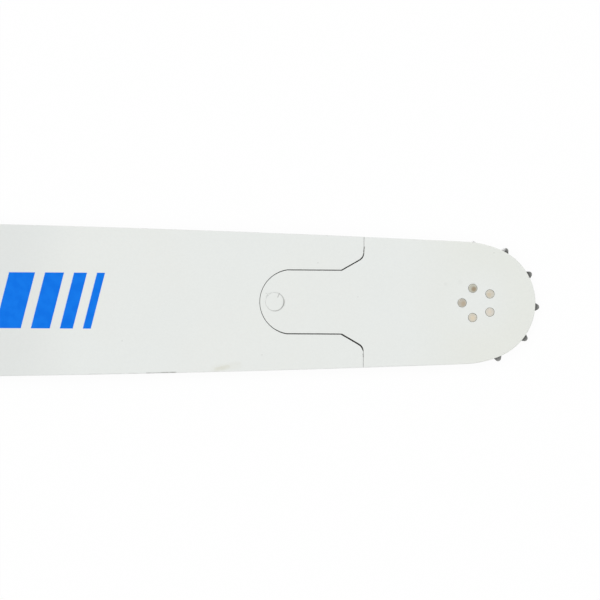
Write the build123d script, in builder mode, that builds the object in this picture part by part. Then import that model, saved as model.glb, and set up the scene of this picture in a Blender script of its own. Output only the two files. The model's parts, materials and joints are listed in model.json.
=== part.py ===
from build123d import *
from math import asin, cos, floor, hypot, pi, radians, sin, sqrt, tan
import os

# Chainsaw guide bar with a replaceable sprocket nose, lying flat on one side.
# Millimetres. +X runs to the nose, +Y to one rail, +Z up through the thickness.
# The origin is the centre of the stud slot, on the face that the bar lies on.

# Whole bar
nose_reach = 959.0  # slot centre to the tip of the nose plates
bar_width = 79.55  # across the rails at the widest point
widest_to_hub = 425.0  # widest point to the sprocket axis
tail_width = 57.0  # across the rails at the tail end, before its corners are rounded
tail_corner_radius = 14.0
tail_wall = 11.0  # stud slot to the tail end
bar_thickness = 4.8
edge_break = 0.25  # bevel along the outer edges

# Nose outline
nose_radius = 29.0
nose_arc_angle = 67.0  # from the bar's axis to where the shoulder takes over
shoulder_radius = 50.0

# Chain groove in the rails
groove_width = 1.65
groove_depth = 8.0

# Stud slot, chain tensioner holes and oil holes
slot_length = 90.0
slot_width = 12.2
tension_hole_diameter = 7.0
tension_hole_x = 20.0
tension_hole_web = 4.9  # metal between the slot and each tensioner hole
oil_hole_diameter = 3.0
oil_hole_x = -22.0
oil_hole_inset = 5.0  # rail edge to the middle of each oil hole

# Joint between the bar's body and its nose
seam_to_hub = 56.87
tongue_width = 31.5
tongue_length = 51.9  # seam to the end of the tongue
tongue_end_relief = 0.2  # end radius less half the tongue's width
flare_length = 10.95  # along the bar, from the seam back to the straight tongue
flare_angle = 30.0
nose_corner_radius = 4.15
body_corner_radius = 5.0
tongue_end_gap = 0.24
tongue_side_gap = 0.44
flare_gap = 0.56
seam_gap = 0.12

# Tenon: the middle layer of the body, which reaches in between the nose plates
tenon_lap = 2.0  # under the nose plates, along the flares and the seam
tenon_arm_width = 5.0
tenon_land = 5.0  # tip rivet to the tenon's front edge
tenon_slot_radius = 4.0
tenon_end_gap = 0.3  # to the core plate
tenon_face_gap = 0.05  # to each nose plate
tenon_root = 3.0  # overlap with the solid body behind the notch

# Rivets, ground flush on both faces
tip_rivet_diameter = 9.2
tip_rivet_to_end = 7.4  # rivet axis to the end of the tongue
tip_rivet_gap = 0.06
hub_rivet_count = 5
hub_rivet_diameter = 4.3
hub_rivet_circle_radius = 7.7
hub_rivet_start = 180.0  # degrees, one rivet points to the tail
hub_rivet_gap = 0.1

# Nose sprocket
tooth_count = 11
tooth_phase = -3.6  # degrees, the tooth nearest to the bar's axis
tooth_rise = 2.1  # tooth tip above the nose plates
tooth_rim_width = 4.0  # tooth width at the edge of the nose plates
tooth_flank_angle = 28.0
gullet_radius = 3.0
sprocket_side_gap = 0.1
sprocket_pocket_gap = 1.2  # tooth tip to the core plate

# Roller bearing under the sprocket
race_wall = 1.55  # metal outside the hub rivets
roller_diameter = 3.0
roller_spacing = 0.1  # least gap between two rollers
bearing_gap = 0.04
roller_end_gap = 0.08

# Places along the bar
hub_x = nose_reach - nose_radius
widest_x = hub_x - widest_to_hub
seam_x = hub_x - seam_to_hub
flare_x = seam_x - flare_length
tongue_end_x = seam_x - tongue_length
tip_rivet_x = tongue_end_x + tip_rivet_to_end
tail_reach = slot_length / 2 + tail_wall

# Layers through the thickness
plate_thickness = (bar_thickness - groove_width) / 2
groove_top = plate_thickness + groove_width
middle = bar_thickness / 2

# Holes, pocket and bearing, fitted round what they hold
tension_hole_y = slot_width / 2 + tension_hole_web + tension_hole_diameter / 2
tip_rivet_hole_radius = tip_rivet_diameter / 2 + tip_rivet_gap
hub_rivet_hole_radius = hub_rivet_diameter / 2 + hub_rivet_gap
tooth_tip_radius = nose_radius + tooth_rise
race_radius = hub_rivet_circle_radius + hub_rivet_hole_radius + race_wall
roller_circle_radius = race_radius + bearing_gap + roller_diameter / 2
sprocket_bore_radius = roller_circle_radius + roller_diameter / 2 + bearing_gap
roller_count = floor(pi / asin((roller_diameter + roller_spacing) / (2 * roller_circle_radius)))

# Outline circles: nose, shoulder, front flank and rear flank touch one after the other
half_width = bar_width / 2
shoulder_reach = shoulder_radius - nose_radius
shoulder_x = hub_x - shoulder_reach * cos(radians(nose_arc_angle))
shoulder_y = -shoulder_reach * sin(radians(nose_arc_angle))
flank_run = shoulder_x - widest_x
flank_rise = half_width - shoulder_y
flank_radius = (flank_run**2 + flank_rise**2 - shoulder_radius**2) / (2 * (flank_rise - shoulder_radius))
tail_run = widest_x + tail_reach
tail_drop = half_width - tail_width / 2
rear_radius = (tail_run**2 + tail_drop**2) / (2 * tail_drop)


def on_circle(center, radius, x):
    """Point of a circle's upper half at a given x."""
    return (x, center[1] + sqrt(radius**2 - (x - center[0]) ** 2))


def outline(inset, tail_x):
    """Edge of the bar, drawn inward by inset and run back to tail_x, in the line that is being built."""
    hub = (hub_x, 0)
    shoulder = (shoulder_x, shoulder_y)
    flank = (widest_x, half_width - flank_radius)
    rear = (widest_x, half_width - rear_radius)
    lean = flank_run / (flank_radius - shoulder_radius)
    flank_r = flank_radius - inset
    shoulder_r = shoulder_radius - inset
    nose_r = nose_radius - inset
    rear_r = rear_radius - inset
    nose_mid = radians(nose_arc_angle / 2)

    tail = on_circle(rear, rear_r, tail_x)
    widest = (widest_x, half_width - inset)
    flank_end = on_circle(flank, flank_r, widest_x + flank_r * lean)
    shoulder_end = on_circle(hub, nose_r, hub_x + nose_r * cos(2 * nose_mid))
    shoulder_mid_x = (flank_end[0] + shoulder_end[0]) / 2
    nose_tip = (hub_x + nose_r, 0)

    Line((tail_x, 0), tail)
    ThreePointArc(tail, on_circle(rear, rear_r, (tail_x + widest_x) / 2), widest)
    ThreePointArc(widest, on_circle(flank, flank_r, (widest_x + flank_end[0]) / 2), flank_end)
    ThreePointArc(flank_end, on_circle(shoulder, shoulder_r, shoulder_mid_x), shoulder_end)
    ThreePointArc(shoulder_end, (hub_x + nose_r * cos(nose_mid), nose_r * sin(nose_mid)), nose_tip)
    mirror(about=Plane.XZ)


def joint_edge(end_gap, side_gap, flare_gap, seam_gap, corner_radius):
    """Edge between body and nose, moved into the body by the gaps, and closed round the nose."""
    slope = radians(flare_angle)
    side_y = tongue_width / 2 + side_gap
    end_radius = side_y + tongue_end_relief
    end_center_x = tongue_end_x - end_gap + end_radius
    side_x = end_center_x - sqrt(end_radius**2 - side_y**2)
    turn = asin(side_y / end_radius) / 2
    end_tip = (end_center_x - end_radius, 0)
    end_mid = (end_center_x - end_radius * cos(turn), end_radius * sin(turn))

    flare_start_x = flare_x - flare_gap * sin(slope) + (side_gap - flare_gap * cos(slope)) / tan(slope)
    flare = (flare_start_x, side_y)
    corner_x = seam_x - seam_gap
    corner_y = side_y + (corner_x - flare_start_x) * tan(slope)
    setback = corner_radius * tan(pi / 4 - slope / 2)
    flare_end = (corner_x - setback * cos(slope), corner_y - setback * sin(slope))
    seam_start = (corner_x, corner_y + setback)
    far_x = nose_reach + bar_width

    ThreePointArc(end_tip, end_mid, (side_x, side_y))
    Polyline((side_x, side_y), flare, flare_end)
    TangentArc(flare_end, seam_start, tangent=(cos(slope), sin(slope)))
    Polyline(seam_start, (corner_x, bar_width), (far_x, bar_width), (far_x, 0))
    mirror(about=Plane.XZ)


# Oil holes follow the rail's edge at their place along the bar
oil_hole_y = on_circle((widest_x, half_width - rear_radius), rear_radius, oil_hole_x)[1] - oil_hole_inset

# Plans that several pieces share
with BuildSketch() as bar_plan:
    with BuildLine():
        outline(0, -tail_reach)
    make_face()
    tail_points = bar_plan.vertices().group_by(Axis.X)[0].sort_by(Axis.Y)
    fillet([tail_points[0], tail_points[-1]], tail_corner_radius)

# Inside of the chain groove; it runs out through the tail
with BuildSketch() as web_plan:
    with BuildLine():
        outline(groove_depth, -tail_reach - tail_wall)
    make_face()

with BuildSketch() as nose_zone:
    with BuildLine():
        joint_edge(0, 0, 0, 0, nose_corner_radius)
    make_face()

with BuildSketch() as notch_zone:
    with BuildLine():
        joint_edge(tongue_end_gap, tongue_side_gap, flare_gap, seam_gap, body_corner_radius)
    make_face()

# All in front of the tenon's root
root_end_gap = tongue_end_gap + tenon_root
root_side_gap = tongue_side_gap + tenon_root
root_flare_gap = flare_gap + tenon_root
root_seam_gap = seam_gap + tenon_root
with BuildSketch() as tenon_zone:
    with BuildLine():
        joint_edge(root_end_gap, root_side_gap, root_flare_gap, root_seam_gap, body_corner_radius - tenon_root)
    make_face()

# Rear end of the core plate, between the tenon's arms
core_rear_x = tip_rivet_x + tip_rivet_diameter / 2 + tenon_land
core_rear_half = tongue_width / 2 - tenon_arm_width


def core_rear(gap):
    """Plan of the core plate's rear end, smaller by gap at its rear and sides."""
    with BuildSketch() as rear_end:
        with Locations(((core_rear_x + flare_x) / 2 + gap, 0)):
            Rectangle(flare_x - core_rear_x, 2 * (core_rear_half - gap))
        fillet(rear_end.vertices().group_by(Axis.X)[0], tenon_slot_radius - gap)
    return rear_end.sketch


def core_zone(gap):
    """All that lies in front of the tenon's edge, and further forward by gap."""
    inset = -tenon_lap - gap
    with BuildSketch() as zone:
        with BuildLine():
            joint_edge(inset, inset, inset, inset, nose_corner_radius - inset)
        make_face()
        with Locations((tongue_end_x, 0)):
            Rectangle(2 * (flare_x + gap - tongue_end_x), bar_width, mode=Mode.SUBTRACT)
        add(core_rear(gap))
    return zone.sketch


# Body: one plate with a groove milled into each rail and a tenon in the middle of its front notch
with BuildPart() as bar_body:
    with BuildSketch():
        add(bar_plan.sketch)
    extrude(amount=bar_thickness)
    levels = bar_body.edges().group_by(Axis.Z)
    chamfer(levels[0] + levels[-1], edge_break)

    with BuildSketch():
        add(notch_zone.sketch)
    extrude(amount=bar_thickness, mode=Mode.SUBTRACT)

    with BuildSketch(Plane.XY.offset(plate_thickness)):
        Rectangle(4 * nose_reach, 2 * bar_width)
        add(web_plan.sketch, mode=Mode.SUBTRACT)
    extrude(amount=groove_width, mode=Mode.SUBTRACT)

    with BuildSketch(Plane.XY.offset(plate_thickness + tenon_face_gap)):
        add(tenon_zone.sketch)
        add(core_zone(0), mode=Mode.SUBTRACT)
        add(web_plan.sketch, mode=Mode.INTERSECT)
    extrude(amount=groove_width - 2 * tenon_face_gap)
    with Locations((tip_rivet_x, 0)):
        Hole(tip_rivet_hole_radius)

    with BuildSketch():
        SlotOverall(slot_length, slot_width)
    extrude(amount=bar_thickness, mode=Mode.SUBTRACT)
    with Locations((tension_hole_x, tension_hole_y), (tension_hole_x, -tension_hole_y)):
        Hole(tension_hole_diameter / 2)
    with Locations((oil_hole_x, oil_hole_y), (oil_hole_x, -oil_hole_y)):
        Hole(oil_hole_diameter / 2)

# Outer plates of the nose, alike on both sides
with BuildPart() as nose_plate_upper:
    with BuildSketch(Plane.XY.offset(groove_top)):
        add(bar_plan.sketch)
    extrude(amount=plate_thickness)
    chamfer(nose_plate_upper.edges().group_by(Axis.Z)[-1], edge_break)
    with BuildSketch(Plane.XY.offset(groove_top)):
        add(nose_zone.sketch)
    extrude(amount=plate_thickness, mode=Mode.INTERSECT)
    with Locations((hub_x, 0)):
        with PolarLocations(hub_rivet_circle_radius, hub_rivet_count, hub_rivet_start):
            Hole(hub_rivet_hole_radius)
    with Locations((tip_rivet_x, 0)):
        Hole(tip_rivet_hole_radius)

with BuildPart() as nose_plate_lower:
    mirror(nose_plate_upper.part, about=Plane.XY.offset(middle))

# Core plate of the nose: keeps the outer plates apart behind the sprocket
with BuildPart() as nose_core:
    with BuildSketch(Plane.XY.offset(plate_thickness)):
        add(core_zone(tenon_end_gap))
        add(web_plan.sketch, mode=Mode.INTERSECT)
        with Locations((hub_x, 0)):
            Circle(tooth_tip_radius + sprocket_pocket_gap, mode=Mode.SUBTRACT)
    extrude(amount=groove_width)

# Nose sprocket: a star of straight flanks, rounded at the tips and in the gullets
tooth_lean = radians(tooth_flank_angle)
half_pitch = pi / tooth_count
tip_apex = nose_radius + tooth_rim_width / 2 / tan(tooth_lean)
gullet_apex = tip_apex * sin(tooth_lean) / sin(tooth_lean + half_pitch)
flank_middle = (tip_apex + gullet_apex) / 2
tip_round = (tip_apex - tooth_tip_radius) / (1 / sin(tooth_lean) - 1)

with BuildPart() as nose_sprocket:
    with BuildSketch(Plane((hub_x, 0, plate_thickness + sprocket_side_gap))) as star:
        with BuildLine():
            star_points = []
            for corner in range(2 * tooth_count):
                reach = gullet_apex if corner % 2 else tip_apex
                turn = radians(tooth_phase) + corner * half_pitch
                star_points.append((reach * cos(turn), reach * sin(turn)))
            Polyline(star_points, close=True)
        make_face()
        fillet(star.vertices().filter_by(lambda v: hypot(v.X, v.Y) > flank_middle), tip_round)
        fillet(star.vertices().filter_by(lambda v: hypot(v.X, v.Y) < flank_middle), gullet_radius)
        Circle(sprocket_bore_radius, mode=Mode.SUBTRACT)
    extrude(amount=groove_width - 2 * sprocket_side_gap)

# Inner race, held still between the outer plates by the hub rivets
with BuildPart() as bearing_race:
    with BuildSketch(Plane((hub_x, 0, plate_thickness))):
        Circle(race_radius)
        with PolarLocations(hub_rivet_circle_radius, hub_rivet_count, hub_rivet_start):
            Circle(hub_rivet_hole_radius, mode=Mode.SUBTRACT)
    extrude(amount=groove_width)

# Rivets round the sprocket axis, through nose plates and race
with BuildPart() as hub_rivets:
    with BuildSketch(Plane((hub_x, 0, 0))):
        with PolarLocations(hub_rivet_circle_radius, hub_rivet_count, hub_rivet_start):
            Circle(hub_rivet_diameter / 2)
    extrude(amount=bar_thickness)

# Rivet that holds the nose plates on the body's tenon
with BuildPart() as tip_rivet:
    with BuildSketch(Plane((tip_rivet_x, 0, 0))):
        Circle(tip_rivet_diameter / 2)
    extrude(amount=bar_thickness)

os.makedirs("parts", exist_ok=True)

bar_body.part.label = "bar_body"
export_step(bar_body.part, "parts/bar_body.step")
nose_plate_upper.part.label = "nose_plate_upper"
export_step(nose_plate_upper.part, "parts/nose_plate_upper.step")
nose_plate_lower.part.label = "nose_plate_lower"
export_step(nose_plate_lower.part, "parts/nose_plate_lower.step")
nose_core.part.label = "nose_core"
export_step(nose_core.part, "parts/nose_core.step")
nose_sprocket.part.label = "nose_sprocket"
export_step(nose_sprocket.part, "parts/nose_sprocket.step")
bearing_race.part.label = "bearing_race"
export_step(bearing_race.part, "parts/bearing_race.step")
hub_rivets.part.label = "hub_rivets"
export_step(hub_rivets.part, "parts/hub_rivets.step")
tip_rivet.part.label = "tip_rivet"
export_step(tip_rivet.part, "parts/tip_rivet.step")

# Loose rollers, as many as the ring between race and sprocket holds
for number in range(roller_count):
    turn = 2 * pi * number / roller_count
    seat = (hub_x + roller_circle_radius * cos(turn), roller_circle_radius * sin(turn))
    name = f"bearing_roller_{number + 1:02d}"
    with BuildPart() as bearing_roller:
        with BuildSketch(Plane((seat[0], seat[1], plate_thickness + roller_end_gap))):
            Circle(roller_diameter / 2)
        extrude(amount=groove_width - 2 * roller_end_gap)
    bearing_roller.part.label = name
    export_step(bearing_roller.part, f"parts/{name}.step")
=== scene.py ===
import json
from math import acos, asin, atan2, cos, pi, radians, sin, sqrt, tan
import bmesh
import bpy
from mathutils import Matrix, Vector
from mathutils.geometry import delaunay_2d_cdt


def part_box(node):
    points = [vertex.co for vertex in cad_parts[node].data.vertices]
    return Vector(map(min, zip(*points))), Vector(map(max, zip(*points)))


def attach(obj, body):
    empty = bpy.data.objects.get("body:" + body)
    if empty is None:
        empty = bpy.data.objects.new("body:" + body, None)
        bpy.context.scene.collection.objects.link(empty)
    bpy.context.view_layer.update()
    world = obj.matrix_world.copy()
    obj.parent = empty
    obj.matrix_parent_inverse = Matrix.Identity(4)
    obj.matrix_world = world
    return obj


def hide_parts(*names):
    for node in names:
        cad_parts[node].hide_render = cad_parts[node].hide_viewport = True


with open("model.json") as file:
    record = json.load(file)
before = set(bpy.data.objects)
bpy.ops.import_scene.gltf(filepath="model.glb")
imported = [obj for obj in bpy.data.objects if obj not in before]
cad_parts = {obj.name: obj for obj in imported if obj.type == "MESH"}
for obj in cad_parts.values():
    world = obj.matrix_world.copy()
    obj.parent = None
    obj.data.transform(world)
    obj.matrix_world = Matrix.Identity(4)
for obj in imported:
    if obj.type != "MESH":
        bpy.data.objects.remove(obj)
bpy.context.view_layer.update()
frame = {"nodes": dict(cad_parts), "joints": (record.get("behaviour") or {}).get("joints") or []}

mm = 0.001
hub = Vector(next(j["pos_m"] for j in frame["joints"] if j["name"] == "sprocket_spin"))
bodyLow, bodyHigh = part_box("bar_body")
plateLow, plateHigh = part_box("nose_plate_upper")
tipLow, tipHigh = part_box("tip_rivet")
barTop = bodyHigh.z
grooveTop = plateLow.z
grooveLow = barTop - grooveTop
middle = barTop / 2


# Outlines, seen from above

barShape = {
    "noseRadius": plateHigh.x - hub.x,
    "noseArc": radians(67),  # from the bar's axis to where the shoulder takes over
    "shoulderRadius": 50 * mm,
    "widestBehindHub": 425 * mm,
    "tailWidth": 57 * mm,
    "tailCorner": 14 * mm,
    "grooveDepth": 8 * mm,
    "paintDrop": 0.02 * mm,  # painted face below the print's top
    "railRound": 0.3 * mm,
    "jointRound": 0.1 * mm,
    "holeRound": 0.3 * mm,
    "slot": (90 * mm, 12.2 * mm),  # length, width
    "tensionHole": (20 * mm, 14.5 * mm, 3.5 * mm),  # place along, place across, radius
    "oilHole": (-22 * mm, 5 * mm, 1.5 * mm),  # place along, inset from the rail's edge, radius
}

jointShape = {
    "seamBehindHub": 56.87 * mm,
    "tongueHalf": 15.75 * mm,
    "tongueEnd": plateLow.x,
    "endRelief": 0.2 * mm,  # end radius less half the tongue's width
    "flareLength": 10.95 * mm,
    "flareAngle": radians(30),
    "noseCorner": 4.15 * mm,
    "bodyCorner": 5 * mm,
    "endGap": 0.24 * mm,
    "sideGap": 0.44 * mm,
    "flareGap": 0.56 * mm,
    "seamGap": 0.12 * mm,
    "tenonRoot": 3 * mm,  # how far the tenon is sunk into the body
    "tenonLap": 2 * mm,  # how far it reaches under the nose plates at the flare and the seam
    "tenonArm": 5 * mm,
    "tenonLand": 5 * mm,  # tip rivet to the tenon's front edge
    "tenonCorner": 4 * mm,
    "tenonFaceGap": 0.05 * mm,
    "webSkin": 0.05 * mm,  # tenon's ends below the groove's floor
}

tipRivet = {
    "place": ((tipLow + tipHigh) / 2).xy,
    "radius": tipHigh.y,
    "gap": 0.04 * mm,
    "round": 0.08 * mm,
}

arcSteps = {  # straight runs that each round is made of
    "rail": 60,
    "noseFlank": 24,
    "shoulder": 24,
    "noseTip": 48,
    "tailCorner": 16,
    "jointCorner": 10,
    "tongueEnd": 24,
    "tenonCorner": 8,
    "slotEnd": 24,
    "tailHole": 36,
    "hubRivet": 48,
    "tipRivet": 72,
    "tenonHole": 48,
    "toothTip": 12,
    "gullet": 8,
    "bearing": 96,
    "roller": 32,
}

paintTop = barTop - barShape["paintDrop"]
seamX = hub.x - jointShape["seamBehindHub"]
flareX = seamX - jointShape["flareLength"]
widestX = hub.x - barShape["widestBehindHub"]
halfWidth = bodyHigh.y
tailX = bodyLow.x

# Circles of the rail's edge: each touches the next
noseArc, shoulderRadius = barShape["noseArc"], barShape["shoulderRadius"]
shoulderReach = shoulderRadius - barShape["noseRadius"]
shoulder = Vector((hub.x - shoulderReach * cos(noseArc), -shoulderReach * sin(noseArc)))
run = shoulder.x - widestX
rise = halfWidth - shoulder.y
flankRadius = (run**2 + rise**2 - shoulderRadius**2) / (2 * (rise - shoulderRadius))
flank = Vector((widestX, halfWidth - flankRadius))
flankLean = atan2(shoulder.y - flank.y, shoulder.x - flank.x)
tailDrop = halfWidth - barShape["tailWidth"] / 2
rearRadius = ((widestX - tailX) ** 2 + tailDrop**2) / (2 * tailDrop)
rear = Vector((widestX, halfWidth - rearRadius))
cornerX = tailX + barShape["tailCorner"]
cornerReach = rearRadius - barShape["tailCorner"]
tailCorner = Vector((cornerX, rear.y + sqrt(cornerReach**2 - (cornerX - rear.x) ** 2)))
rearLean = atan2(tailCorner.y - rear.y, tailCorner.x - rear.x)


def arc(centre, radius, start, end, steps):
    turns = [start + (end - start) * i / steps for i in range(steps + 1)]
    return [Vector((centre.x + radius * cos(a), centre.y + radius * sin(a))) for a in turns]


def circle(centre, radius, steps):
    return arc(centre, radius, 0, 2 * pi, steps)


def mirrored(points):
    return [Vector((p.x, -p.y)) for p in reversed(points)]


def bothSides(half):
    return half + mirrored(half)


def flankTurn(x, inset=0):
    return acos((x - flank.x) / (flankRadius - inset))


def flankY(x, inset=0):
    return flank.y + sqrt((flankRadius - inset) ** 2 - (x - flank.x) ** 2)


def rearY(x):
    return rear.y + sqrt(rearRadius**2 - (x - rear.x) ** 2)


def rearRail(endX):
    # rail from the tail's corner over the widest point to endX on the front flank
    return (arc(rear, rearRadius, rearLean, pi / 2, arcSteps["rail"])
            + arc(flank, flankRadius, pi / 2, flankTurn(endX), arcSteps["rail"]))


def noseRail(startX, inset=0):
    # rail from startX on the front flank round to the tip
    start = flankTurn(startX, inset)
    return (arc(flank, flankRadius - inset, start, flankLean, arcSteps["noseFlank"])
            + arc(shoulder, shoulderRadius - inset, flankLean, noseArc, arcSteps["shoulder"])
            + arc(hub.xy, barShape["noseRadius"] - inset, noseArc, 0, arcSteps["noseTip"]))


def flareEdge(sideGap, flareGap, seamGap, corner):
    # joint between body and nose, from the seam in to the straight side of the tongue
    slope = jointShape["flareAngle"]
    side = jointShape["tongueHalf"] + sideGap
    startX = flareX - flareGap * sin(slope) + (sideGap - flareGap * cos(slope)) / tan(slope)
    seam = seamX - seamGap
    meetY = side + (seam - startX) * tan(slope)
    setback = corner * tan(pi / 4 - slope / 2)
    centre = Vector((seam - corner, meetY + setback))
    return arc(centre, corner, 0, slope - pi / 2, arcSteps["jointCorner"]) + [Vector((startX, side))]


def tongueEnd(sideGap, endGap):
    # round end of the tongue, from its straight side to the bar's axis
    side = jointShape["tongueHalf"] + sideGap
    radius = side + jointShape["endRelief"]
    centre = Vector((jointShape["tongueEnd"] - endGap + radius, 0))
    return arc(centre, radius, pi - asin(side / radius), pi, arcSteps["tongueEnd"])


def bodyEdge(extra):
    # body's side of the joint, moved further into the body by extra
    gaps = ("sideGap", "flareGap", "seamGap", "endGap")
    side, flare, seam, end = (jointShape[gap] + extra for gap in gaps)
    return flareEdge(side, flare, seam, jointShape["bodyCorner"] - extra) + tongueEnd(side, end)


# Meshes

meshLimits = {
    "samePoint": 0.002 * mm,  # points of a loop nearer than this are one
    "sameCorner": 1e-9,  # the same, for the corners of a cover
    "sliver": 1e-8,  # shorter edges are taken out
    "sharpFrom": radians(40),
    "levelFrom": 0.9999,  # a face whose normal's z is this large is flat
    "edgeSteps": 3,  # strips that a rounded edge is made of
}


def closedLoop(*runs):
    # runs of (points, rounding) as one loop, anticlockwise, with no doubled points
    same = meshLimits["samePoint"]
    loop = []
    for points, rounding in runs:
        for p in points:
            if not loop or (p - loop[-1][0]).length > same:
                loop.append((p, rounding))
    if (loop[0][0] - loop[-1][0]).length < same:
        loop.pop()
    area = sum(a.cross(b) for (a, _), (b, _) in zip(loop, loop[1:] + loop[:1]))
    return loop if area > 0 else loop[::-1]


def inward(loop):
    # how far each point moves for one unit of inset, into the metal
    moves = []
    for i, (here, _) in enumerate(loop):
        before = (here - loop[i - 1][0]).normalized().orthogonal()
        after = (loop[(i + 1) % len(loop)][0] - here).normalized().orthogonal()
        bisector = (before + after).normalized()
        moves.append(bisector / bisector.dot(before))
    return moves


def cover(bm, rings):
    # flat face between an outline, which comes first, and its holes, which have no hollow sides
    corners, owners, edges = [], [], []
    for number, ring in enumerate(rings):
        start = len(corners)
        corners += ring
        owners += [number] * len(ring)
        edges += [(start + i, start + (i + 1) % len(ring)) for i in range(len(ring))]
    points = [v.co.xy for v in corners]
    insideOnly = 1  # no triangles outside the outline
    cut = delaunay_2d_cdt(points, edges, [], insideOnly, meshLimits["sameCorner"])
    faces, sources = cut[2:4]
    for face in faces:
        picked = [sources[i][0] for i in face]
        sides = {owners[i] for i in picked}
        if 0 in sides or len(sides) > 1:  # a face with one hole's corners only would close that hole
            bm.faces.new([corners[i] for i in picked])


def plate(name, low, high, outer, holes=(), lowShare=1.0, steps=meshLimits["edgeSteps"]):
    # plate between two heights, with rounded edges on its outline and its holes
    bm = bmesh.new()
    quarter = [pi / 2 * i / steps for i in range(steps + 1)]
    lowRings, highRings = [], []
    for loop in [outer] + [hole[::-1] for hole in holes]:
        points = [(p, r, m) for (p, r), m in zip(loop, inward(loop))]
        rings = []
        for a in quarter:
            rings.append([
                bm.verts.new((*(p + m * r * lowShare * (1 - sin(a))), low + r * lowShare * (1 - cos(a))))
                for p, r, m in points
            ])
        for a in quarter:
            rings.append([
                bm.verts.new((*(p + m * r * (1 - cos(a))), high - r * (1 - sin(a))))
                for p, r, m in points
            ])
        for under, over in zip(rings, rings[1:]):
            for i in range(len(loop)):
                bm.faces.new((under[i - 1], under[i], over[i], over[i - 1]))
        lowRings.append(rings[0])
        highRings.append(rings[-1])
    cover(bm, lowRings)
    cover(bm, highRings)
    bmesh.ops.dissolve_degenerate(bm, dist=meshLimits["sliver"], edges=bm.edges)
    bmesh.ops.recalc_face_normals(bm, faces=bm.faces)
    mesh = bpy.data.meshes.new(name)
    bm.to_mesh(mesh)
    bm.free()
    piece = bpy.data.objects.new(name, mesh)
    bpy.context.scene.collection.objects.link(piece)
    return piece


def carve(piece, tool, operation):
    # the change goes into the piece's mesh at once, and the tool is removed
    change = piece.modifiers.new("carve", "BOOLEAN")
    change.operation = operation
    change.solver = "EXACT"
    change.object = tool
    bpy.context.view_layer.update()
    carved = bpy.data.meshes.new_from_object(piece.evaluated_get(bpy.context.evaluated_depsgraph_get()))
    piece.modifiers.clear()
    piece.data = carved
    bpy.data.objects.remove(tool)


def dress(piece, finishes, pick=lambda centre, normal: 0):
    # finishes go on face by face; flat faces stay flat and rounded ones run smooth
    piece.data.materials.clear()
    for finish in finishes:
        piece.data.materials.append(finish)
    piece.data.set_sharp_from_angle(angle=meshLimits["sharpFrom"])
    for face in piece.data.polygons:
        face.material_index = pick(face.center, face.normal)
        face.use_smooth = abs(face.normal.z) < meshLimits["levelFrom"]


# Node helpers

mostNoise = (0.3, 0.7)  # nearly all values of a noise
midNoise = (0.35, 0.65)  # its middle values


def addNode(tree, kind, values=None, **settings):
    node = tree.nodes.new("ShaderNode" + kind)
    for key, value in settings.items():
        setattr(node, key, value)
    for socket, value in (values or {}).items():
        if isinstance(value, bpy.types.NodeSocket):
            tree.links.new(value, node.inputs[socket])
        else:
            node.inputs[socket].default_value = value
    return node


def newFinish(name):
    finish = bpy.data.materials.new(name)
    finish.use_nodes = True
    tree = finish.node_tree
    return finish, tree, tree.nodes["Principled BSDF"]


def places(tree):
    return addNode(tree, "TexCoord").outputs["Object"]


def plan(tree, where):
    return addNode(tree, "VectorMath", {0: where, 1: (1, 1, 0)}, operation="MULTIPLY").outputs[0]


def noise(tree, where, scale, detail=3.0, roughness=0.5, stretch=None):
    if stretch:
        where = addNode(tree, "Mapping", {"Vector": where, "Scale": stretch}).outputs[0]
    values = {"Vector": where, "Scale": scale, "Detail": detail, "Roughness": roughness}
    return addNode(tree, "TexNoise", values).outputs["Fac"]


def spread(tree, value, low, high, toLow=0.0, toHigh=1.0):
    values = {"Value": value, "From Min": low, "From Max": high, "To Min": toLow, "To Max": toHigh}
    return addNode(tree, "MapRange", values, interpolation_type="SMOOTHSTEP").outputs[0]


def calc(tree, operation, a, b=0.0):
    return addNode(tree, "Math", {0: a, 1: b}, operation=operation).outputs[0]


def times(tree, *factors):
    product = factors[0]
    for factor in factors[1:]:
        product = calc(tree, "MULTIPLY", product, factor)
    return product


def blend(tree, factor, a, b, kind="MIX"):
    # 6, 7 and 2 are the node's colour sockets
    return addNode(tree, "Mix", {0: factor, 6: a, 7: b}, data_type="RGBA", blend_type=kind).outputs[2]


def bump(tree, shader, height, strength, distance):
    values = {"Height": height, "Strength": strength, "Distance": distance}
    tree.links.new(addNode(tree, "Bump", values).outputs[0], shader.inputs["Normal"])


def reachFrom(tree, flat, point):
    # distance from a point, seen from above
    return addNode(tree, "VectorMath", {0: flat, 1: (*point, 0)}, operation="DISTANCE").outputs["Value"]


def reachFromLine(tree, flat, start, end):
    # distance from a short straight line, seen from above
    along = Vector((*end, 0)) - Vector((*start, 0))
    offset = addNode(tree, "VectorMath", {0: flat, 1: (*start, 0)}, operation="SUBTRACT").outputs[0]
    perLength = along / along.length_squared
    share = addNode(tree, "VectorMath", {0: offset, 1: perLength}, operation="DOT_PRODUCT").outputs["Value"]
    share = addNode(tree, "Clamp", {"Value": share}).outputs[0]
    foot = addNode(tree, "VectorMath", {0: along, "Scale": share}, operation="SCALE").outputs[0]
    return addNode(tree, "VectorMath", {0: offset, 1: foot}, operation="DISTANCE").outputs["Value"]


def sideFacing(tree, flat, centre, turn, wide, narrow):
    # 1 where the direction from centre is within narrow of turn, 0 beyond wide
    offset = addNode(tree, "VectorMath", {0: flat, 1: (*centre, 0)}, operation="SUBTRACT").outputs[0]
    unit = addNode(tree, "VectorMath", {0: offset}, operation="NORMALIZE").outputs[0]
    dot = addNode(tree, "VectorMath", {0: unit, 1: (cos(turn), sin(turn), 0)}, operation="DOT_PRODUCT")
    return spread(tree, dot.outputs["Value"], cos(wide), cos(narrow))


def colour(*rgb):
    return (*rgb, 1.0)


def at(along, across):
    return (along * mm, across * mm)


# White paint of the bar and its nose

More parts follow.
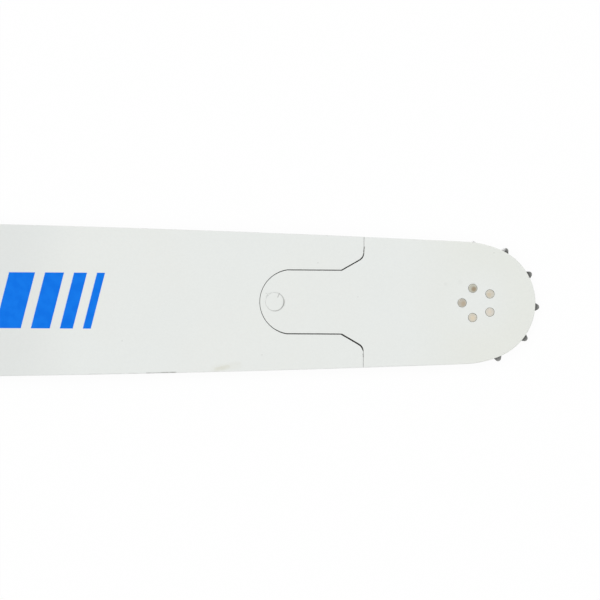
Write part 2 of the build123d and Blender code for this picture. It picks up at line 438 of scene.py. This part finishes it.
paintLook = {
    "cool": colour(0.797, 0.822, 0.801),
    "warm": colour(0.801, 0.821, 0.795),
    "patchScale": 16.0,
    "grainScale": 900.0,
    "grainTint": (0.99, 1.005),
    "glossScale": 60.0,
    "rough": (0.36, 0.46),
    "peelScale": 1300.0,
    "peelBump": (0.12, 0.05 * mm),
    # dark colour of the dirt specks and scratches, and of the painted shade round and beside the tip rivet
    "grimeAndShade": colour(0.10, 0.095, 0.08),
    "smudge": colour(0.55, 0.53, 0.38),
    "tailShade": (colour(0.936, 0.938, 0.946), 694 * mm, 735 * mm),  # greys a little towards the tail
    "noseShade": (colour(0.982, 0.977, 0.950), 0 * mm, 26 * mm),  # yellows away from the sprocket's axis
    "noseShadeFrom": (-40 * mm, 5 * mm),  # along the bar from that axis: none, all
    "markDepth": 1 * mm,  # marks lie on the upper face and reach this far down
    "markCore": 0.3,  # share of a mark's half width that has its full strength
    "markScale": 700.0,
    "markBreak": (0.3, 0.6, 0.5, 1.0),  # noise from, to, strength there
    "specks": [  # place, radius, strength
        (at(850.1, 19.6), 0.45 * mm, 0.25),
        (at(870.2, 2.7), 0.5 * mm, 0.15),
        (at(822.4, -26.6), 0.6 * mm, 0.15),
        (at(752.4, -20.0), 0.5 * mm, 0.2),
        (at(938.1, 25.1), 0.45 * mm, 0.2),
        (at(914.0, 9.4), 1.2 * mm, 0.05),
        (at(921.2, 10.3), 1.6 * mm, 0.05),
    ],
    "scratches": [  # one end, other end, half width, strength: four scratches, then painted shade beside the tip rivet, then dark lines on the seam between body and nose
        (at(830.9, 4.2), at(830.1, 2.3), 0.3 * mm, 0.45),
        (at(824.2, 4.3), at(825.1, 3.7), 0.32 * mm, 0.24),
        (at(824.3, 2.6), at(825.2, 3.6), 0.32 * mm, 0.24),
        (at(825.3, 4.0), at(827.0, 4.5), 0.22 * mm, 0.22),
        (at(833.45, 0.9), at(833.35, -1.7), 0.65 * mm, 0.17),
        (at(872.75, 23.5), at(872.9, 24.3), 0.42 * mm, 0.70),
        (at(872.9, 23.4), at(873.1, 25.7), 0.32 * mm, 0.90),
        (at(873.0, 25.4), at(873.25, 27.6), 0.42 * mm, 0.80),
        (at(873.2, 31.6), at(873.2, 32.9), 0.25 * mm, 0.40),
        (at(872.5, -22.8), at(872.85, -23.9), 0.50 * mm, 0.90),
        (at(872.9, -25.9), at(873.1, -27.3), 0.40 * mm, 0.60),
    ],
    "smudges": [  # one end, other end, half width, strength
        (at(799.7, -33.8), at(805.4, -32.8), 1.5 * mm, 0.27),
        (at(798.4, -33.8), at(810.6, -31.7), 2.6 * mm, 0.11),
    ],
    "lowerEdgeDark": [  # darker along the lower rail's edge: from, to along it, half width, strength
        (736 * mm, 752 * mm, 0.5 * mm, 0.09),
        (756 * mm, 760 * mm, 0.5 * mm, 0.14),
        (764.8 * mm, 771 * mm, 0.5 * mm, 0.45),
        (772 * mm, 779.3 * mm, 0.55 * mm, 0.60),
    ],
    "lowerEdgeDarkInset": 0.2 * mm,
    "tipRivetShadeWidth": (0.1 * mm, 0.4 * mm),
    "tipRivetShade": [  # painted shade round the tip rivet: darkest side's turn, wide and narrow reach, strength
        (radians(-26), radians(140), radians(10), 0.44),
        (radians(-18), radians(36), radians(0), 0.32),
    ],
}


def makeWhitePaint():
    look = paintLook
    finish, tree, shader = newFinish("whitePaint")
    where = places(tree)
    flat = plan(tree, where)
    parts = addNode(tree, "SeparateXYZ", {0: where}).outputs
    patches = spread(tree, noise(tree, where, look["patchScale"]), *midNoise)
    tint = blend(tree, patches, look["cool"], look["warm"])
    grain = spread(tree, noise(tree, where, look["grainScale"]), *mostNoise, *look["grainTint"])
    tint = blend(tree, 1.0, tint, grain, "MULTIPLY")
    shade, full, none = look["tailShade"]
    tint = blend(tree, spread(tree, parts["X"], full, none, 1.0, 0.0), tint, shade, "MULTIPLY")
    shade, none, full = look["noseShade"]
    away = spread(tree, reachFrom(tree, flat, hub.xy), none, full)
    ahead = spread(tree, parts["X"], *(hub.x + x for x in look["noseShadeFrom"]))
    tint = blend(tree, times(tree, away, ahead), tint, shade, "MULTIPLY")

    upper = spread(tree, parts["Z"], middle, barTop - look["markDepth"])
    ragged = times(tree, upper, spread(tree, noise(tree, where, look["markScale"]), *look["markBreak"]))

    # each mark lays its colour over the paint; some marks are dirt, some are painted shade
    def mark(tint, reach, half, strength, markColour):
        amount = spread(tree, reach, look["markCore"] * half, half, strength, 0.0)
        return blend(tree, times(tree, amount, ragged), tint, markColour)

    for place, radius, strength in look["specks"]:
        tint = mark(tint, reachFrom(tree, flat, place), radius, strength, look["grimeAndShade"])
    # scratches, with painted shade beside the tip rivet and dark lines on the seam among them
    for start, end, half, strength in look["scratches"]:
        tint = mark(tint, reachFromLine(tree, flat, start, end), half, strength, look["grimeAndShade"])
    for start, end, half, strength in look["smudges"]:
        tint = mark(tint, reachFromLine(tree, flat, start, end), half, strength, look["smudge"])
    # darker lines along the lower rail's edge
    for startX, endX, half, strength in look["lowerEdgeDark"]:
        start, end = ((x, look["lowerEdgeDarkInset"] - flankY(x)) for x in (startX, endX))
        tint = mark(tint, reachFromLine(tree, flat, start, end), half, strength, look["grimeAndShade"])

    # painted shade round the tip rivet, darkest on one side
    fromEdge = calc(tree, "SUBTRACT", reachFrom(tree, flat, tipRivet["place"]), tipRivet["radius"])
    fromEdge = calc(tree, "ABSOLUTE", fromEdge)
    for turn, wide, narrow, strength in look["tipRivetShade"]:
        side = sideFacing(tree, flat, tipRivet["place"], turn, wide, narrow)
        ring = spread(tree, fromEdge, *look["tipRivetShadeWidth"], strength, 0.0)
        tint = blend(tree, times(tree, ring, side, upper), tint, look["grimeAndShade"])

    rough = spread(tree, noise(tree, where, look["glossScale"]), *mostNoise, *look["rough"])
    tree.links.new(tint, shader.inputs["Base Color"])
    tree.links.new(rough, shader.inputs["Roughness"])
    bump(tree, shader, noise(tree, where, look["peelScale"], detail=2.0), *look["peelBump"])
    return finish


# Bare steels

steelLooks = {  # darkest and lightest colour, roughness
    "railSteel": (colour(0.30, 0.30, 0.29), colour(0.46, 0.455, 0.44), (0.32, 0.48)),
    "grooveSteel": (colour(0.05, 0.048, 0.044), colour(0.11, 0.107, 0.10), (0.45, 0.65)),
    # near black: the shade in the joint between body and nose, painted into its walls
    "jointShadeSteel": (colour(0.02, 0.019, 0.017), colour(0.05, 0.048, 0.044), (0.5, 0.7)),
    "plateSteel": (colour(0.26, 0.26, 0.255), colour(0.40, 0.40, 0.39), (0.35, 0.5)),
    "bearingSteel": (colour(0.48, 0.48, 0.48), colour(0.62, 0.62, 0.62), (0.14, 0.26)),
}

steelWear = {
    "scratchScale": 260.0,
    "scratchStretch": (1.0, 6.0, 6.0),  # long along the bar
    "scratchShare": 0.6,
    "cloudScale": 140.0,
    "cloudShare": 0.4,
    "bump": (0.1, 0.03 * mm),
}


def steelGrain(tree, where):
    # scratches along the bar with clouds of tarnish over them
    wear = steelWear
    scratches = noise(tree, where, wear["scratchScale"], detail=4.0, roughness=0.6,
                      stretch=wear["scratchStretch"])
    clouds = noise(tree, where, wear["cloudScale"])
    lines = times(tree, scratches, wear["scratchShare"])
    mixed = calc(tree, "ADD", lines, times(tree, clouds, wear["cloudShare"]))
    return scratches, clouds, spread(tree, mixed, *midNoise)


def finishSteel(tree, shader, tint, scratches, clouds, rough):
    tree.links.new(tint, shader.inputs["Base Color"])
    tree.links.new(spread(tree, clouds, *mostNoise, *rough), shader.inputs["Roughness"])
    shader.inputs["Metallic"].default_value = 1.0
    bump(tree, shader, scratches, *steelWear["bump"])


def makeSteel(name):
    dark, light, rough = steelLooks[name]
    finish, tree, shader = newFinish(name)
    scratches, clouds, mixed = steelGrain(tree, places(tree))
    finishSteel(tree, shader, blend(tree, mixed, dark, light), scratches, clouds, rough)
    return finish


# Blue ink

inkLook = {
    "deep": colour(0.001, 0.170, 0.80),
    "thin": colour(0.003, 0.194, 0.84),
    "patchScale": 220.0,
    "rough": (0.36, 0.44),
    "gloss": 0.1,
    "grainScale": 1500.0,
    "grainBump": (0.1, 0.03 * mm),
}


def makeBlueInk():
    look = inkLook
    finish, tree, shader = newFinish("blueInk")
    where = places(tree)
    patches = spread(tree, noise(tree, where, look["patchScale"], detail=4.0), *midNoise)
    tree.links.new(blend(tree, patches, look["deep"], look["thin"]), shader.inputs["Base Color"])
    tree.links.new(spread(tree, patches, 0.0, 1.0, *look["rough"]), shader.inputs["Roughness"])
    shader.inputs["Specular IOR Level"].default_value = look["gloss"]
    bump(tree, shader, noise(tree, where, look["grainScale"], detail=2.0), *look["grainBump"])
    return finish


whitePaint = makeWhitePaint()
blueInk = makeBlueInk()
steels = {name: makeSteel(name) for name in steelLooks}
print("paint, ink and", len(steels), "steels made")


# Faces of the body and the nose plates: paint outside, bare metal on the edges, and steel darkened with
# painted shade in the joint

barFinishes = [whitePaint, steels["railSteel"], steels["grooveSteel"], steels["jointShadeSteel"]]
paintFace, railFace, grooveFace, jointShadeFace = range(len(barFinishes))

faceLimits = {  # levels are a normal's z: a face has to be more level than that to stay white
    "paintLevel": 0.3,
    "nosePaintLevel": 0.25,
    "noseInnerLevel": 0.7,  # inner faces of the nose plates
    # edges beside the joint on one side go dark with painted shade unless they are this level
    "shadedTongueLevel": 0.8,
    "shadedFlareLevel": 0.99,
    "shadeFromTip": 8 * mm,  # the joint's painted shade starts this far from the tongue's end
    "shadeShortOfSeam": 0.4 * mm,
    "flareLead": 1 * mm,
    "skin": 0.5 * mm,  # depth of the rounded edges, at most
    "grooveEdge": 0.1 * mm,
    "railStrip": 0.4 * mm,  # the rail's own edge, beside the joint
    "jointLead": 1 * mm,
    "aroundTip": 1 * mm,  # edge of the tip rivet's hole
}


def insideRail(centre):
    return abs(centre.y) < flankY(centre.x) - faceLimits["railStrip"]


def jointLevel(centre):
    # how level a face beside the joint has to be to stay white: painted shade lies on the edges of one side
    limits = faceLimits
    shadeStart = jointShape["tongueEnd"] + limits["shadeFromTip"]
    shadeEnd = seamX - limits["shadeShortOfSeam"]
    if centre.y > 0 or not shadeStart < centre.x < shadeEnd:
        return limits["paintLevel"]
    onFlare = centre.x > flareX - limits["flareLead"]
    return limits["shadedFlareLevel"] if onFlare else limits["shadedTongueLevel"]


def pickBodyFace(centre, normal):
    limits = faceLimits
    tongueX = jointShape["tongueEnd"]
    atJoint = centre.x > tongueX - limits["jointLead"] and insideRail(centre)
    if centre.z < limits["skin"] or centre.z > barTop - limits["skin"]:
        if abs(normal.z) > (jointLevel(centre) if atJoint else limits["paintLevel"]):
            return paintFace
    elif grooveLow - limits["grooveEdge"] < centre.z < grooveTop + limits["grooveEdge"]:
        return grooveFace if abs(normal.z) > limits["paintLevel"] or centre.x > tongueX else railFace
    return jointShadeFace if atJoint else railFace


def pickNoseFace(centre, normal, upper):
    limits = faceLimits
    outside = centre.z > middle if upper else centre.z < middle
    facing = normal.z if upper else -normal.z
    atJoint = centre.x < seamX + limits["jointLead"] and insideRail(centre)
    nearTip = (centre.xy - tipRivet["place"]).length < tipRivet["radius"] + limits["aroundTip"]
    level = jointLevel(centre) if atJoint and not nearTip else limits["nosePaintLevel"]
    if outside and facing > level:
        return paintFace
    if facing < -limits["noseInnerLevel"]:
        return grooveFace
    return jointShadeFace if atJoint else railFace


# Bar body


def tenonLoop():
    # middle layer of the body's front: sunk into the body, and open where the nose's core goes
    shape = jointShape
    inset = barShape["grooveDepth"] + shape["webSkin"]
    lap = shape["tenonLap"]
    rootX = seamX - shape["seamGap"] - shape["tenonRoot"]
    outside = [Vector((rootX, flankY(rootX, inset)))] + bodyEdge(shape["tenonRoot"])
    inside = flareEdge(-lap, -lap, -lap, shape["noseCorner"] + lap)
    inside = [p for p in inside if p.y < flankY(p.x, inset)]
    inside.insert(0, Vector((inside[0].x, flankY(inside[0].x, inset))))
    arm = shape["tongueHalf"] - shape["tenonArm"]
    corner = shape["tenonCorner"]
    slotX = tipRivet["place"].x + tipRivet["radius"] + shape["tenonLand"]
    inside += [Vector((flareX, shape["tongueHalf"] - lap)), Vector((flareX, arm))]
    inside += arc(Vector((slotX + corner, arm - corner)), corner, pi / 2, pi, arcSteps["tenonCorner"])
    return closedLoop((bothSides(outside) + bothSides(inside)[::-1], 0))


def bodyHoles():
    length, width = barShape["slot"]
    slotEnd = Vector(((length - width) / 2, 0))
    slotLoop = (arc(slotEnd, width / 2, -pi / 2, pi / 2, arcSteps["slotEnd"])
                + arc(-slotEnd, width / 2, pi / 2, 3 * pi / 2, arcSteps["slotEnd"]))
    loops = [slotLoop]
    oilX, oilInset, oilRadius = barShape["oilHole"]
    for x, y, radius in (barShape["tensionHole"], (oilX, rearY(oilX) - oilInset, oilRadius)):
        for side in (y, -y):
            loops.append(circle(Vector((x, side)), radius, arcSteps["tailHole"]))
    return [closedLoop((loop, barShape["holeRound"])) for loop in loops]


def makeGrooveTool():
    # all that lies outside the web, between the rails' two lips
    depth = barShape["grooveDepth"]
    pastTail = tailX - barShape["tailCorner"]
    start = pi / 2 + asin((widestX - pastTail) / (rearRadius - depth))
    web = arc(rear, rearRadius - depth, start, pi / 2, arcSteps["rail"]) + noseRail(widestX, depth)
    far = 2 * halfWidth
    around = [Vector((tailX - far, far)), Vector((plateHigh.x + far, far))]
    outer, hole = (closedLoop((bothSides(half), 0)) for half in (around, web))
    return plate("grooveTool", grooveLow, grooveTop, outer, [hole])


def makeTenonTool():
    gap = jointShape["tenonFaceGap"]
    hole = circle(tipRivet["place"], tipRivet["radius"] + tipRivet["gap"], arcSteps["tenonHole"])
    return plate("tenonTool", grooveLow + gap, grooveTop - gap, tenonLoop(), [closedLoop((hole, 0))])


def makeBarBody():
    rail = barShape["railRound"]
    tail = arc(tailCorner, barShape["tailCorner"], pi, rearLean, arcSteps["tailCorner"])
    upperRail = tail + rearRail(seamX - jointShape["seamGap"])
    lowerRail = mirrored(upperRail)
    joint = upperRail[-1:] + bothSides(bodyEdge(0)) + lowerRail[:1]
    outer = closedLoop((upperRail[:-1], rail), (joint, barShape["jointRound"]), (lowerRail[1:], rail))
    body = plate("barBody", 0, paintTop, outer, bodyHoles())
    carve(body, makeGrooveTool(), "DIFFERENCE")
    carve(body, makeTenonTool(), "UNION")
    dress(body, barFinishes, pickBodyFace)
    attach(body, "bar")
    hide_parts("bar_body")


makeBarBody()
print("bar body made")


# Nose plates

hubRivet = {
    "count": 5,
    "ring": 7.7 * mm,
    "radius": 2.15 * mm,
    "gap": 0.1 * mm,
    "start": pi,  # the first rivet is on the tail's side
    "round": 0.2 * mm,
    "drop": 0.03 * mm,  # head below the paint
}
nosePlate = {
    "rimRound": 0.5 * mm,
    "holeRound": 0.12 * mm,
    "innerShare": 0.3,  # share of the rounding that the inner edges have
}
flipOver = Matrix.Translation((0, 0, barTop)) @ Matrix.Scale(-1, 4, (0, 0, 1))


def rivetPlaces():
    turns = [hubRivet["start"] + 2 * pi * i / hubRivet["count"] for i in range(hubRivet["count"])]
    return [hub.xy + hubRivet["ring"] * Vector((cos(a), sin(a))) for a in turns]


def rivetHoles(rounding):
    radius = hubRivet["radius"] + hubRivet["gap"]
    return [closedLoop((circle(p, radius, arcSteps["hubRivet"]), rounding)) for p in rivetPlaces()]


def makeNosePlate(name, node, upper):
    rim = noseRail(seamX)
    tongue = (flareEdge(0, 0, 0, jointShape["noseCorner"]) + tongueEnd(0, 0))[::-1] + rim[:1]
    jointRound = barShape["jointRound"]
    outer = closedLoop((tongue, jointRound), (rim[1:] + mirrored(rim[1:]), nosePlate["rimRound"]),
                       (mirrored(tongue), jointRound))
    tipHole = circle(tipRivet["place"], tipRivet["radius"] + tipRivet["gap"], arcSteps["tipRivet"])
    holes = [closedLoop((tipHole, tipRivet["round"]))] + rivetHoles(nosePlate["holeRound"])
    piece = plate(name, grooveTop, paintTop, outer, holes, nosePlate["innerShare"])
    if not upper:
        piece.data.transform(flipOver)
        piece.data.flip_normals()
    dress(piece, barFinishes, lambda centre, normal: pickNoseFace(centre, normal, upper))
    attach(piece, "bar")
    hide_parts(node)


makeNosePlate("nosePlateUpper", "nose_plate_upper", True)
makeNosePlate("nosePlateLower", "nose_plate_lower", False)
print("nose plates made")


# Rivets

rivetLook = {
    "ring": colour(0.52, 0.505, 0.44),
    "ringWidth": 0.4 * mm,
    "rough": (0.4, 0.55),
    "scratchDark": 0.12,  # how far the scratches darken a head
    "spotCore": 0.35,  # share of a spot's radius that has its full colour
    "heads": [  # from the tail's side round: head's colour, spot's colour, its place and radius; tones and spots are partly the steel's own colour and partly painted reflections
        (colour(0.42, 0.395, 0.34), colour(0.385, 0.33, 0.255), at(0.7, -0.4), 1.8 * mm),
        (colour(0.54, 0.505, 0.43), colour(0.55, 0.485, 0.38), at(0.1, -0.2), 1.5 * mm),
        (colour(0.56, 0.53, 0.475), colour(0.57, 0.52, 0.44), at(-0.1, 0.1), 1.3 * mm),
        (colour(0.52, 0.495, 0.43), colour(0.49, 0.435, 0.34), at(-0.4, -0.3), 1.4 * mm),
        (colour(0.43, 0.425, 0.36), colour(0.285, 0.232, 0.165), at(0.5, -0.4), 1.75 * mm),
    ],
}


def makeRivetSteel(number, centre):
    look = rivetLook
    base, spot, offset, radius = look["heads"][number - 1]
    finish, tree, shader = newFinish(f"rivetSteel{number}")
    where = places(tree)
    flat = plan(tree, where)
    scratches, clouds, mixed = steelGrain(tree, where)
    dark = spread(tree, mixed, 0.0, 1.0, 0.0, look["scratchDark"])
    tint = blend(tree, dark, base, colour(0, 0, 0))
    fromSpot = reachFrom(tree, flat, centre + Vector(offset))
    tint = blend(tree, spread(tree, fromSpot, look["spotCore"] * radius, radius, 1.0, 0.0), tint, spot)
    edge = hubRivet["radius"]
    rim = spread(tree, reachFrom(tree, flat, centre), edge - look["ringWidth"], edge)
    finishSteel(tree, shader, blend(tree, rim, tint, look["ring"]), scratches, clouds, look["rough"])
    return finish


def makeTipRivet():
    edge = circle(tipRivet["place"], tipRivet["radius"], arcSteps["tipRivet"])
    piece = plate("tipRivet", 0, paintTop, closedLoop((edge, tipRivet["round"])))
    dress(piece, [whitePaint])
    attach(piece, "bar")
    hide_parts("tip_rivet")


def makeHubRivets():
    for number, p in enumerate(rivetPlaces(), 1):
        loop = closedLoop((circle(p, hubRivet["radius"], arcSteps["hubRivet"]), hubRivet["round"]))
        piece = plate(f"hubRivet{number}", hubRivet["drop"], paintTop - hubRivet["drop"], loop)
        dress(piece, [makeRivetSteel(number, p)])
        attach(piece, "bar")
        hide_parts("hub_rivets")


makeTipRivet()
makeHubRivets()
print("rivets made")


# Sprocket

sprocketShape = {
    "teeth": 11,
    "phase": radians(-3.6),  # first tooth, from the bar's axis
    "toothRise": 2.1 * mm,  # above the edge of the nose plates
    "rimWidth": 4.0 * mm,  # tooth's width at that edge
    "flankAngle": radians(28),
    "gullet": 3 * mm,  # radius between two teeth
    "bore": 14.58 * mm,  # radius
    "edgeRound": 0.35 * mm,
    "edgeSteps": 4,
    "boreRound": 0.15 * mm,
}
sprocketLook = {
    # roots darker with the nose plates' painted shade; tips lighter from wear and painted light
    "root": colour(0.065, 0.066, 0.063),
    "wornAndLit": colour(0.235, 0.238, 0.228),
    "glintColour": colour(0.62, 0.62, 0.62),
    "rough": (0.28, 0.42),
    "wornAndLitFrom": 0.4 * mm,  # inside the edge of the nose plates
    "glintFrom": 0.5 * mm,
    "wornAndLitGrain": (0.7, 1.0),
    "paintedGlints": [  # painted highlights on single teeth: tooth, degrees from its middle, degrees of wide and narrow reach, share
        (3, 0.0, 3.2, 1.4, 1.0),
        (2, 2.6, 2.6, 0.9, 0.65),
        (9, 1.0, 4.5, 1.0, 0.1),
    ],
}


def makeSprocketSteel():
    look = sprocketLook
    finish, tree, shader = newFinish("sprocketSteel")
    where = places(tree)
    flat = plan(tree, where)
    scratches, clouds, mixed = steelGrain(tree, where)
    nose = barShape["noseRadius"]
    reach = reachFrom(tree, flat, hub.xy)
    # darker roots are painted shade, lighter tips are wear and painted light
    wornAndLit = spread(tree, reach, nose - look["wornAndLitFrom"], nose + sprocketShape["toothRise"])
    wornAndLit = times(tree, wornAndLit, spread(tree, mixed, 0.0, 1.0, *look["wornAndLitGrain"]))
    tint = blend(tree, wornAndLit, look["root"], look["wornAndLit"])
    # painted highlights on the sides of some teeth
    outside = spread(tree, reach, nose - look["glintFrom"], nose)
    for tooth, turn, wide, narrow, share in look["paintedGlints"]:
        facing = sprocketShape["phase"] + 2 * pi * tooth / sprocketShape["teeth"] + radians(turn)
        lit = sideFacing(tree, flat, hub.xy, facing, radians(wide), radians(narrow))
        tint = blend(tree, times(tree, lit, outside, share), tint, look["glintColour"])
    finishSteel(tree, shader, tint, scratches, clouds, look["rough"])
    return finish


def starPoints():
    shape = sprocketShape
    lean = shape["flankAngle"]
    halfPitch = pi / shape["teeth"]
    tipRadius = barShape["noseRadius"] + shape["toothRise"]
    tipApex = barShape["noseRadius"] + shape["rimWidth"] / 2 / tan(lean)
    gulletApex = tipApex * sin(lean) / sin(lean + halfPitch)
    tipRound = (tipApex - tipRadius) / (1 / sin(lean) - 1)
    tipReach = tipApex - tipRound / sin(lean)
    gulletReach = gulletApex + shape["gullet"] / sin(lean + halfPitch)
    tipSweep = pi / 2 - lean
    gulletSweep = pi / 2 - lean - halfPitch
    star = []
    for tooth in range(shape["teeth"]):
        turn = shape["phase"] + 2 * halfPitch * tooth
        tip = hub.xy + tipReach * Vector((cos(turn), sin(turn)))
        star += arc(tip, tipRound, turn - tipSweep, turn + tipSweep, arcSteps["toothTip"])
        turn += halfPitch
        gullet = hub.xy + gulletReach * Vector((cos(turn), sin(turn)))
        back = turn + pi
        star += arc(gullet, shape["gullet"], back + gulletSweep, back - gulletSweep, arcSteps["gullet"])
    return star


def makeSprocket():
    shape = sprocketShape
    low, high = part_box("nose_sprocket")
    outer = closedLoop((starPoints(), shape["edgeRound"]))
    bore = closedLoop((circle(hub.xy, shape["bore"], arcSteps["bearing"]), shape["boreRound"]))
    piece = plate("noseSprocket", low.z, high.z, outer, [bore], steps=shape["edgeSteps"])
    dress(piece, [makeSprocketSteel()])
    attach(piece, "sprocket")
    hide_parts("nose_sprocket")


makeSprocket()
print("sprocket made")


# Inner pieces of the nose

innerPieces = {"rollerRound": 0.12 * mm, "raceRound": 0.1 * mm}


def makeRace():
    low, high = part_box("bearing_race")
    rim = circle(hub.xy, (high.x - low.x) / 2, arcSteps["bearing"])
    outer = closedLoop((rim, innerPieces["raceRound"]))
    piece = plate("bearingRace", low.z, high.z, outer, rivetHoles(innerPieces["raceRound"]))
    dress(piece, [steels["bearingSteel"]])
    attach(piece, "bar")
    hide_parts("bearing_race")


def makeRollers():
    nodes = sorted(node for node in frame["nodes"] if node.startswith("bearing_roller_"))
    for number, node in enumerate(nodes, 1):
        low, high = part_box(node)
        side = circle(((low + high) / 2).xy, (high.x - low.x) / 2, arcSteps["roller"])
        loop = closedLoop((side, innerPieces["rollerRound"]))
        piece = plate(f"bearingRoller{number}", low.z, high.z, loop)
        dress(piece, [steels["bearingSteel"]])
        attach(piece, "roller_set")
        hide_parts(node)
    return len(nodes)


def dressCore():
    core = frame["nodes"]["nose_core"]  # its own shape is right
    core.data.materials.clear()
    core.data.materials.append(steels["plateSteel"])


makeRace()
rollerCount = makeRollers()
dressCore()
print("bearing made, with", rollerCount, "rollers")


# Printed bars on the upper face

printBars = {
    "frontEnd": 743.7 * mm,  # foremost point of the print
    "height": 28 * mm,
    "slant": radians(14),
    "gap": 5 * mm,
    "widths": [4 * mm, 6.5 * mm, 9.5 * mm, 13 * mm, 120 * mm],  # from the nose's side
    "round": 0.01 * mm,
}


def makePrint():
    half = printBars["height"] / 2
    lean = half * tan(printBars["slant"])
    front = printBars["frontEnd"] - lean
    for number, width in enumerate(printBars["widths"], 1):
        back = front - width
        lower = [Vector((x - lean, -half)) for x in (back, front)]
        upper = [Vector((x + lean, half)) for x in (front, back)]
        outer = closedLoop((lower + upper, printBars["round"]))
        piece = plate(f"printBar{number}", paintTop, barTop, outer)
        dress(piece, [blueInk])
        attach(piece, "bar")
        front = back - printBars["gap"]


makePrint()
print("print made")


# Studio

studio = {
    "skyOnObject": 0.55,  # the camera sees the sky at 1
    "floorColour": colour(0.96, 0.96, 0.96),
    "floorPatchScale": 2.0,
    "floorPatchTint": (0.99, 1.0),
    "floorRough": 0.9,
    "floorWhite": 0.95,  # how far the floor that the camera sees is washed out to white
    "shadowReach": 0.02,  # a floor closed in on all sides within this reach keeps its dark
    "closedIn": (0.15, 0.45),  # openness at which the floor keeps all of its dark, and none
    "floorSize": 30.0,
    "softboxes": [  # direction to the light, share of the light on a flat face
        ((-0.5, 0.85, 1.1), 0.25),
        ((0.9, 0.2, 1.1), 0.12),
        ((0.1, -1.0, 1.1), 0.12),
    ],
    "boxDistance": 4.0,
    "boxSize": 2.5,
}
plainWhite = colour(1, 1, 1)


def seenRays(tree):
    # 1 for what the camera sees, straight on or in a reflection
    rays = addNode(tree, "LightPath").outputs
    seen = calc(tree, "MAXIMUM", rays["Is Camera Ray"], rays["Is Glossy Ray"])
    return calc(tree, "MAXIMUM", seen, rays["Is Transmission Ray"])


def makeWorld():
    world = bpy.data.worlds.new("studio")
    world.use_nodes = True
    bpy.context.scene.world = world
    tree = world.node_tree
    sky = tree.nodes["Background"]
    sky.inputs["Color"].default_value = plainWhite
    strength = spread(tree, seenRays(tree), 0.0, 1.0, studio["skyOnObject"], 1.0)
    tree.links.new(strength, sky.inputs["Strength"])


def makePaleFloor():
    finish, tree, shader = newFinish("paleFloor")
    patches = noise(tree, places(tree), studio["floorPatchScale"], detail=2.0)
    patches = spread(tree, patches, *mostNoise, *studio["floorPatchTint"])
    tint = blend(tree, 1.0, studio["floorColour"], patches, "MULTIPLY")
    tree.links.new(tint, shader.inputs["Base Color"])
    shader.inputs["Roughness"].default_value = studio["floorRough"]
    shader.inputs["Specular IOR Level"].default_value = 0.0
    white = addNode(tree, "Emission", {"Color": plainWhite, "Strength": 1.0}).outputs[0]
    openness = addNode(tree, "AmbientOcclusion", {"Distance": studio["shadowReach"]}).outputs["AO"]
    wash = spread(tree, openness, *studio["closedIn"], 0.0, studio["floorWhite"])
    wash = times(tree, seenRays(tree), wash)
    surface = addNode(tree, "MixShader", {0: wash, 1: shader.outputs[0], 2: white}).outputs[0]
    tree.links.new(surface, tree.nodes["Material Output"].inputs["Surface"])
    return finish


def makeFloor():
    half = studio["floorSize"] / 2
    mesh = bpy.data.meshes.new("floor")
    corners = [(-half, -half, 0), (half, -half, 0), (half, half, 0), (-half, half, 0)]
    mesh.from_pydata(corners, [], [(0, 1, 2, 3)])
    mesh.materials.append(makePaleFloor())
    floor = bpy.data.objects.new("floor", mesh)
    bpy.context.scene.collection.objects.link(floor)


def makeSoftboxes():
    target = Vector((hub.x, 0, barTop))
    distance = studio["boxDistance"]
    for number, (towards, share) in enumerate(studio["softboxes"], 1):
        direction = Vector(towards).normalized()
        lamp = bpy.data.lights.new(f"softbox{number}", "AREA")
        lamp.shape = "SQUARE"
        lamp.size = studio["boxSize"]
        # a small lamp's light on a flat face is power * cos / (pi * distance^2)
        lamp.energy = share * pi * pi * distance**2 / direction.z
        box = bpy.data.objects.new(f"softbox{number}", lamp)
        box.location = target + direction * distance
        box.rotation_euler = direction.to_track_quat("Z", "Y").to_euler()
        bpy.context.scene.collection.objects.link(box)


makeWorld()
makeFloor()
makeSoftboxes()
print("studio made")


# Camera, straight above the nose half

view = {
    "lens": 200.0,
    "sensor": 36.0,
    "field": 300 * mm,  # width of the picture at the bar's face
    "behindHub": 88.75 * mm,  # picture's centre to the sprocket's axis
    "aside": 0.95 * mm,  # picture's centre to the bar's axis
    "roll": radians(0.3373),  # the bar lies a little askew in the picture
}


def makeCamera():
    camera = bpy.data.objects.new("camera", bpy.data.cameras.new("camera"))
    camera.data.lens = view["lens"]
    camera.data.sensor_width = view["sensor"]
    height = view["field"] * view["lens"] / view["sensor"]
    camera.location = (hub.x - view["behindHub"], view["aside"], barTop + height)
    camera.rotation_euler = (0, 0, view["roll"])
    bpy.context.scene.collection.objects.link(camera)
    bpy.context.scene.camera = camera
    print("camera", round(height, 3), "m above the bar")


makeCamera()
bpy.context.scene.view_settings.view_transform = "Standard"
